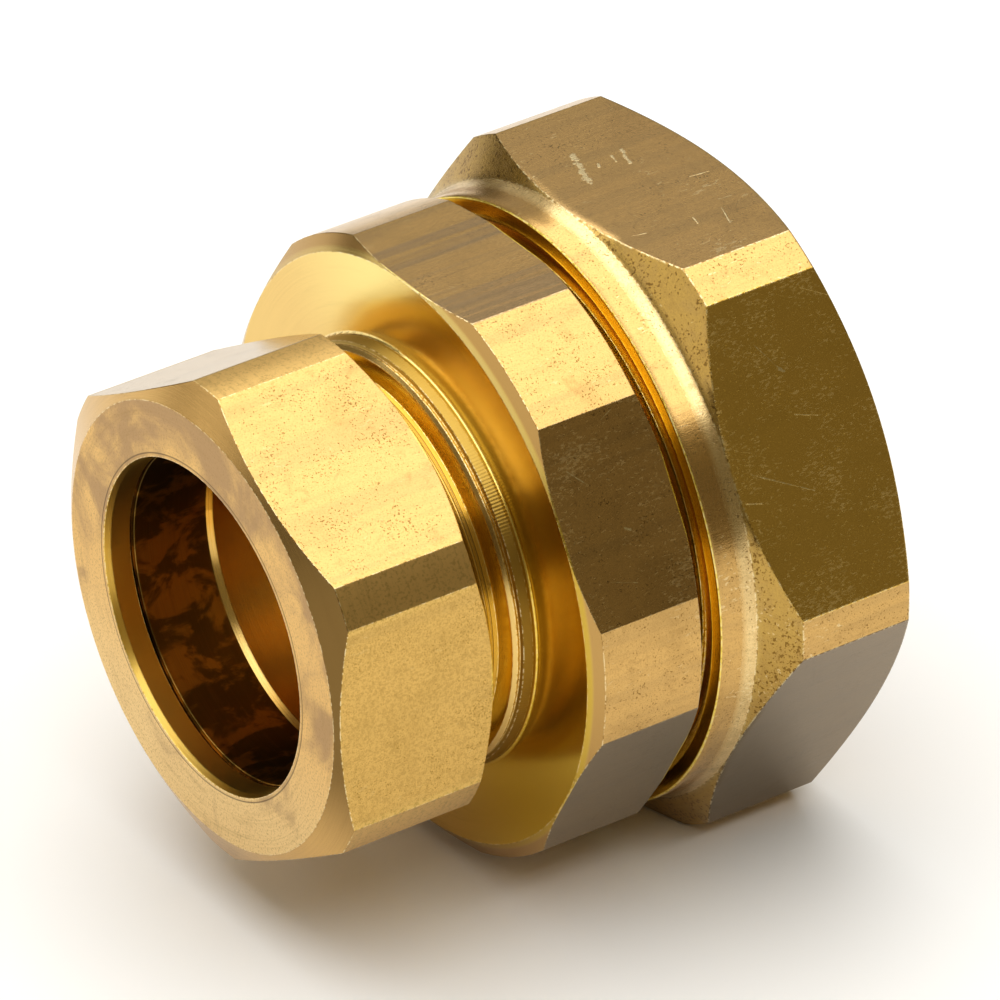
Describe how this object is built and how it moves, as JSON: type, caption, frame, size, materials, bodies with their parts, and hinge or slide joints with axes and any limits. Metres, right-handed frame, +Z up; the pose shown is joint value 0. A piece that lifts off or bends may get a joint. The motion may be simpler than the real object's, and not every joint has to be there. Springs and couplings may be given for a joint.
{
  "type": "pipe union",
  "caption": "Straight brass union joining rigid copper pipe to corrugated flexible gas tube, with a hexagonal body between two threaded nuts.",
  "frame": {"origin": "on the fitting's axis, halfway along its length (the centre of its bounding box)", "axes": "+X along the axis from the copper pipe's nut to the flexible tube's nut; +Z up, square to a pair of wide flats of the body and of the flexible tube's nut; +Y makes it right-handed"},
  "size_m": [0.05, 0.0586, 0.0524],
  "materials": {
    "body_brass": "machined, satin",
    "nut_brass": "bright drawn bar, fine scratches",
    "tube_nut_brass": "drawn bar, slightly tarnished",
    "olive_brass": "dull, tarnished",
    "bushing_brass": "machined",
    "graphite": "matt pressed graphite",
    "black_rubber": "smooth",
    "grey_rubber": "matt moulded"
  },
  "bodies": {
    "body": {"body": "body_brass", "flare_gasket": "graphite"},
    "olive": {"olive": "olive_brass"},
    "compression_nut": {"compression_nut": "nut_brass"},
    "bushings": {"split_bushing_left": "bushing_brass", "split_bushing_right": "bushing_brass", "bushing_retaining_ring": "black_rubber"},
    "flex_tube_nut": {"flex_tube_nut": "tube_nut_brass", "jacket_seal": "grey_rubber"}
  },
  "joints": [
    {"name": "olive_slide", "type": "slide", "parent": "body", "child": "olive", "axis": [-1, 0, 0], "range_m": [0, 0.009]},
    {"name": "compression_nut_spin", "type": "hinge", "parent": "olive", "child": "compression_nut", "pos_m": [-0.0176, 0, 0], "axis": [-1, 0, 0], "range_deg": [0, 2160]},
    {"name": "bushings_slide", "type": "slide", "parent": "body", "child": "bushings", "axis": [1, 0, 0], "range_m": [0, 0.009]},
    {"name": "flex_tube_nut_spin", "type": "hinge", "parent": "bushings", "child": "flex_tube_nut", "pos_m": [0.0161, 0, 0], "axis": [1, 0, 0], "range_deg": [0, 2160]}
  ],
  "couplings": [
    {"joint": "olive_slide", "follows": "compression_nut_spin", "m_per_rad": 0.00023873},
    {"joint": "bushings_slide", "follows": "flex_tube_nut_spin", "m_per_rad": 0.00023873}
  ]
}
